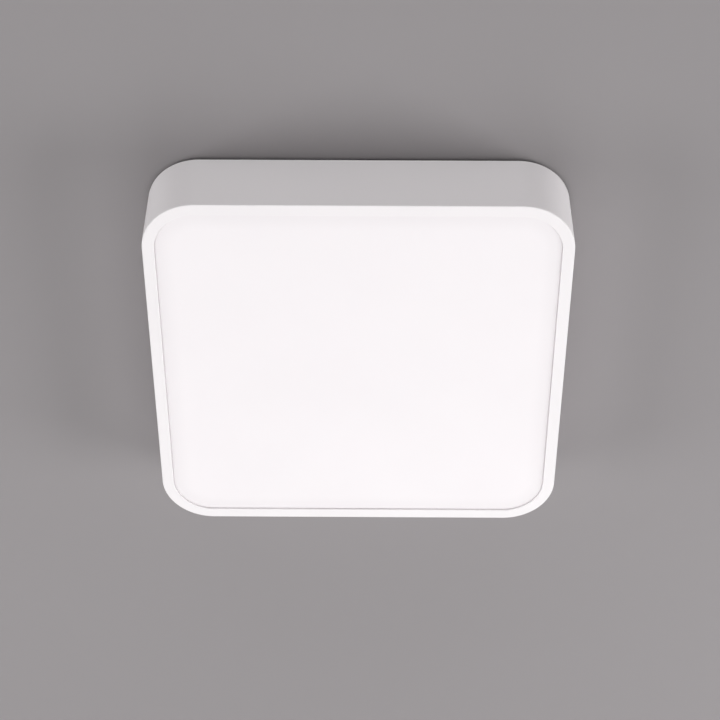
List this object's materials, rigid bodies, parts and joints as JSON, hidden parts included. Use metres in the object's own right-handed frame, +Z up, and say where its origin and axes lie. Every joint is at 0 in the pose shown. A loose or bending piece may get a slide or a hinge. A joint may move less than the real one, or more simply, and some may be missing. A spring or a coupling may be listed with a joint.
{
  "type": "flush mount ceiling light",
  "caption": "Square flush mount ceiling light with round corners: a white frame with an opal diffuser clips over a screwed base pan that holds light bars and a driver.",
  "frame": {"origin": "in the ceiling plane, in the middle of the four ceiling screws", "axes": "+Z up into the ceiling, -Y towards the side nearest the viewer in the picture, +X to the right there"},
  "size_m": [0.3, 0.3, 0.056],
  "materials": {
    "frame_plastic": "satin",
    "opal_acrylic": "satin",
    "seal_foam": "matte",
    "pan_steel": "satin",
    "grommet_rubber": "matte",
    "spring_steel": "satin",
    "bar_aluminium": "satin",
    "chip_phosphor": "satin",
    "connector_plastic": "satin",
    "screw_steel": "satin",
    "driver_plastic": "satin",
    "circuit_board": "satin",
    "transformer_ferrite": "matte",
    "capacitor_sleeve": "gloss",
    "chip_resin": "matte",
    "terminal_plastic": "satin",
    "contact_brass": "satin",
    "lug_tin": "satin",
    "button_plastic": "satin",
    "lead_brown": "satin",
    "lead_blue": "satin",
    "lead_green_yellow": "satin",
    "lead_white": "satin",
    "saddle_plastic": "satin"
  },
  "bodies": {
    "base": {"bar_connectors": "connector_plastic", "bar_screws": "screw_steel", "base_pan": "pan_steel", "cable_grommet": "grommet_rubber", "driver_board": "circuit_board", "driver_capacitors": "capacitor_sleeve", "driver_case": "driver_plastic", "driver_chips": "chip_resin", "driver_lid": "driver_plastic", "driver_screws": "screw_steel", "driver_transformer": "transformer_ferrite", "earth_lead": "lead_green_yellow", "earth_lug": "lug_tin", "earth_screw": "contact_brass", "jumper_lead_1": "lead_white", "jumper_lead_2": "lead_white", "jumper_lead_3": "lead_white", "lead_saddles": "saddle_plastic", "led_bar_1": "bar_aluminium", "led_bar_2": "bar_aluminium", "led_bar_3": "bar_aluminium", "led_bar_4": "bar_aluminium", "led_chips_1": "chip_phosphor", "led_chips_2": "chip_phosphor", "led_chips_3": "chip_phosphor", "led_chips_4": "chip_phosphor", "led_lead": "lead_white", "live_lead": "lead_brown", "neutral_lead": "lead_blue", "spring_clip_back": "spring_steel", "spring_clip_front": "spring_steel", "spring_clip_left": "spring_steel", "spring_clip_right": "spring_steel", "terminal_contacts": "contact_brass", "terminal_housing": "terminal_plastic", "terminal_screws": "screw_steel"},
    "cover": {"cover_frame": "frame_plastic", "diffuser": "opal_acrylic", "diffuser_seal": "seal_foam"},
    "release_button_earth": {"release_button_earth": "button_plastic"},
    "release_button_neutral": {"release_button_neutral": "button_plastic"},
    "release_button_live": {"release_button_live": "button_plastic"}
  },
  "joints": [
    {"name": "cover_pull_off", "type": "slide", "parent": "base", "child": "cover", "axis": [0, 0, -1], "range_m": [0, 0.08], "deforming": ["spring_clip_back", "spring_clip_front", "spring_clip_left", "spring_clip_right"]},
    {"name": "button_press_earth", "type": "slide", "parent": "base", "child": "release_button_earth", "axis": [0, 0, 1], "range_m": [0, 0.0015], "stiffness_N_per_m": 600, "springref_m": -0.001},
    {"name": "button_press_neutral", "type": "slide", "parent": "base", "child": "release_button_neutral", "axis": [0, 0, 1], "range_m": [0, 0.0015], "stiffness_N_per_m": 600, "springref_m": -0.001},
    {"name": "button_press_live", "type": "slide", "parent": "base", "child": "release_button_live", "axis": [0, 0, 1], "range_m": [0, 0.0015], "stiffness_N_per_m": 600, "springref_m": -0.001}
  ]
}
